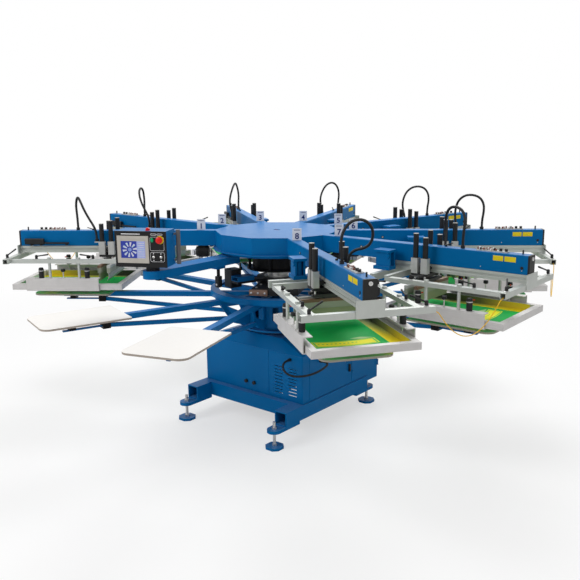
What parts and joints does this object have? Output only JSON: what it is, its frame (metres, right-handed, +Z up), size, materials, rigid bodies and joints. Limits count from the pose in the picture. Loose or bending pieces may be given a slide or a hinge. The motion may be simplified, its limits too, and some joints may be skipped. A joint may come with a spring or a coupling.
{
  "type": "automatic rotary screen printing press",
  "caption": "Floor-standing automatic carousel press: screens with sliding squeegees on radial arms over turning pallets, on a cabinet base with a control panel.",
  "frame": {"origin": "on the floor under the middle of the machine's outline, 95 mm behind the carousel's axis", "axes": "+Z up, -Y towards the two load stations and the control panel, +X along the widest row of heads"},
  "size_m": [3.804, 3.6323, 1.63],
  "materials": {
    "blue_paint": "gloss",
    "black_paint": "satin",
    "aluminium": "satin",
    "bare_steel": "satin",
    "frame_aluminium": "matte",
    "mesh_green": "matte",
    "pallet_board": "matte",
    "black_plastic": "matte",
    "black_rubber": "matte",
    "yellow_cord": "satin",
    "white_sign": "matte",
    "red_plastic": "gloss",
    "green_plastic": "gloss",
    "squeegee_mix": "satin"
  },
  "bodies": {
    "press_frame": {"base_frame": "blue_paint", "levelling_studs": "bare_steel", "levelling_pads": "black_rubber", "cabinet_shell": "blue_paint", "cabinet_panels": "blue_paint", "electrical_box": "blue_paint", "glands_and_latch": "black_plastic", "centre_column": "bare_steel", "lift_cylinders": "aluminium", "column_shroud": "black_paint", "upper_hub": "blue_paint", "head_arms": "blue_paint", "arm_end_caps": "black_plastic", "stroke_rails": "aluminium", "holder_frames": "aluminium", "clamp_rails": "aluminium", "clamps_and_levers": "black_plastic", "screen_frames": "frame_aluminium", "screen_meshes": "mesh_green", "registration_units": "blue_paint", "number_signs": "white_sign", "arm_controls": "black_plastic", "panel_arm": "blue_paint", "carriage_hoses": "black_plastic", "safety_cords": "yellow_cord", "cabinet_hose": "black_plastic"},
    "lift": {"lift_sleeve": "bare_steel", "index_drive": "blue_paint"},
    "carousel": {"carousel_hub": "blue_paint", "pallet_arms": "blue_paint", "pallet_brackets": "black_paint", "pallets": "pallet_board"},
    "carriage_1": {"carriage_1": "black_paint"},
    "squeegee_1": {"squeegee_1": "squeegee_mix"},
    "flood_bar_1": {"flood_bar_1": "squeegee_mix"},
    "carriage_2": {"carriage_2": "black_paint"},
    "squeegee_2": {"squeegee_2": "squeegee_mix"},
    "flood_bar_2": {"flood_bar_2": "squeegee_mix"},
    "carriage_3": {"carriage_3": "black_paint"},
    "squeegee_3": {"squeegee_3": "squeegee_mix"},
    "flood_bar_3": {"flood_bar_3": "squeegee_mix"},
    "carriage_4": {"carriage_4": "black_paint"},
    "squeegee_4": {"squeegee_4": "squeegee_mix"},
    "flood_bar_4": {"flood_bar_4": "squeegee_mix"},
    "carriage_5": {"carriage_5": "black_paint"},
    "squeegee_5": {"squeegee_5": "squeegee_mix"},
    "flood_bar_5": {"flood_bar_5": "squeegee_mix"},
    "carriage_6": {"carriage_6": "black_paint"},
    "squeegee_6": {"squeegee_6": "squeegee_mix"},
    "flood_bar_6": {"flood_bar_6": "squeegee_mix"},
    "carriage_7": {"carriage_7": "black_paint"},
    "squeegee_7": {"squeegee_7": "squeegee_mix"},
    "flood_bar_7": {"flood_bar_7": "squeegee_mix"},
    "carriage_8": {"carriage_8": "black_paint"},
    "squeegee_8": {"squeegee_8": "squeegee_mix"},
    "flood_bar_8": {"flood_bar_8": "squeegee_mix"},
    "control_panel": {"panel_enclosure": "blue_paint"},
    "estop": {"estop_button": "red_plastic"},
    "start": {"start_button": "green_plastic"},
    "door": {"cabinet_door": "blue_paint"}
  },
  "joints": [
    {"name": "table_lift", "type": "slide", "parent": "press_frame", "child": "lift", "axis": [0, 0, 1], "range_m": [0, 0.045]},
    {"name": "carousel_turn", "type": "hinge", "parent": "lift", "child": "carousel", "pos_m": [0, -0.09519, 0.69], "axis": [0, 0, 1], "continuous": true},
    {"name": "carriage_1_stroke", "type": "slide", "parent": "press_frame", "child": "carriage_1", "axis": [-0.809, -0.5878, 0], "range_m": [0, 0.5], "deforming": ["carriage_hoses"]},
    {"name": "squeegee_1_press", "type": "slide", "parent": "carriage_1", "child": "squeegee_1", "axis": [0, 0, 1], "range_m": [-0.048, 0]},
    {"name": "flood_bar_1_press", "type": "slide", "parent": "carriage_1", "child": "flood_bar_1", "axis": [0, 0, 1], "range_m": [-0.048, 0]},
    {"name": "carriage_2_stroke", "type": "slide", "parent": "press_frame", "child": "carriage_2", "axis": [-1, 0, 0], "range_m": [0, 0.5], "deforming": ["carriage_hoses"]},
    {"name": "squeegee_2_press", "type": "slide", "parent": "carriage_2", "child": "squeegee_2", "axis": [0, 0, 1], "range_m": [-0.048, 0]},
    {"name": "flood_bar_2_press", "type": "slide", "parent": "carriage_2", "child": "flood_bar_2", "axis": [0, 0, 1], "range_m": [-0.048, 0]},
    {"name": "carriage_3_stroke", "type": "slide", "parent": "press_frame", "child": "carriage_3", "axis": [-0.809, 0.5878, 0], "range_m": [0, 0.5], "deforming": ["carriage_hoses"]},
    {"name": "squeegee_3_press", "type": "slide", "parent": "carriage_3", "child": "squeegee_3", "axis": [0, 0, 1], "range_m": [-0.048, 0]},
    {"name": "flood_bar_3_press", "type": "slide", "parent": "carriage_3", "child": "flood_bar_3", "axis": [0, 0, 1], "range_m": [-0.048, 0]},
    {"name": "carriage_4_stroke", "type": "slide", "parent": "press_frame", "child": "carriage_4", "axis": [-0.309, 0.9511, 0], "range_m": [0, 0.5], "deforming": ["carriage_hoses"]},
    {"name": "squeegee_4_press", "type": "slide", "parent": "carriage_4", "child": "squeegee_4", "axis": [0, 0, 1], "range_m": [-0.048, 0]},
    {"name": "flood_bar_4_press", "type": "slide", "parent": "carriage_4", "child": "flood_bar_4", "axis": [0, 0, 1], "range_m": [-0.048, 0]},
    {"name": "carriage_5_stroke", "type": "slide", "parent": "press_frame", "child": "carriage_5", "axis": [0.309, 0.9511, 0], "range_m": [0, 0.5], "deforming": ["carriage_hoses"]},
    {"name": "squeegee_5_press", "type": "slide", "parent": "carriage_5", "child": "squeegee_5", "axis": [0, 0, 1], "range_m": [-0.048, 0]},
    {"name": "flood_bar_5_press", "type": "slide", "parent": "carriage_5", "child": "flood_bar_5", "axis": [0, 0, 1], "range_m": [-0.048, 0]},
    {"name": "carriage_6_stroke", "type": "slide", "parent": "press_frame", "child": "carriage_6", "axis": [0.809, 0.5878, 0], "range_m": [0, 0.5], "deforming": ["carriage_hoses"]},
    {"name": "squeegee_6_press", "type": "slide", "parent": "carriage_6", "child": "squeegee_6", "axis": [0, 0, 1], "range_m": [-0.048, 0]},
    {"name": "flood_bar_6_press", "type": "slide", "parent": "carriage_6", "child": "flood_bar_6", "axis": [0, 0, 1], "range_m": [-0.048, 0]},
    {"name": "carriage_7_stroke", "type": "slide", "parent": "press_frame", "child": "carriage_7", "axis": [1, 0, 0], "range_m": [0, 0.5], "deforming": ["carriage_hoses"]},
    {"name": "squeegee_7_press", "type": "slide", "parent": "carriage_7", "child": "squeegee_7", "axis": [0, 0, 1], "range_m": [-0.048, 0]},
    {"name": "flood_bar_7_press", "type": "slide", "parent": "carriage_7", "child": "flood_bar_7", "axis": [0, 0, 1], "range_m": [-0.048, 0]},
    {"name": "carriage_8_stroke", "type": "slide", "parent": "press_frame", "child": "carriage_8", "axis": [0.809, -0.5878, 0], "range_m": [0, 0.5], "deforming": ["carriage_hoses"]},
    {"name": "squeegee_8_press", "type": "slide", "parent": "carriage_8", "child": "squeegee_8", "axis": [0, 0, 1], "range_m": [-0.048, 0]},
    {"name": "flood_bar_8_press", "type": "slide", "parent": "carriage_8", "child": "flood_bar_8", "axis": [0, 0, 1], "range_m": [-0.048, 0]},
    {"name": "panel_swivel", "type": "hinge", "parent": "press_frame", "child": "control_panel", "pos_m": [-0.13, -1.15519, 1.245], "axis": [0, 0, 1], "range_deg": [-60, 60]},
    {"name": "estop_push", "type": "slide", "parent": "control_panel", "child": "estop", "axis": [-0.4695, 0.8829, 0], "range_m": [0, 0.004], "stiffness_N_per_m": 1500},
    {"name": "start_push", "type": "slide", "parent": "control_panel", "child": "start", "axis": [-0.4695, 0.8829, 0], "range_m": [0, 0.003], "stiffness_N_per_m": 800},
    {"name": "door_hinge", "type": "hinge", "parent": "press_frame", "child": "door", "pos_m": [0.473, 0.54081, 0.406], "axis": [0, 0, 1], "range_deg": [0, 110]}
  ]
}
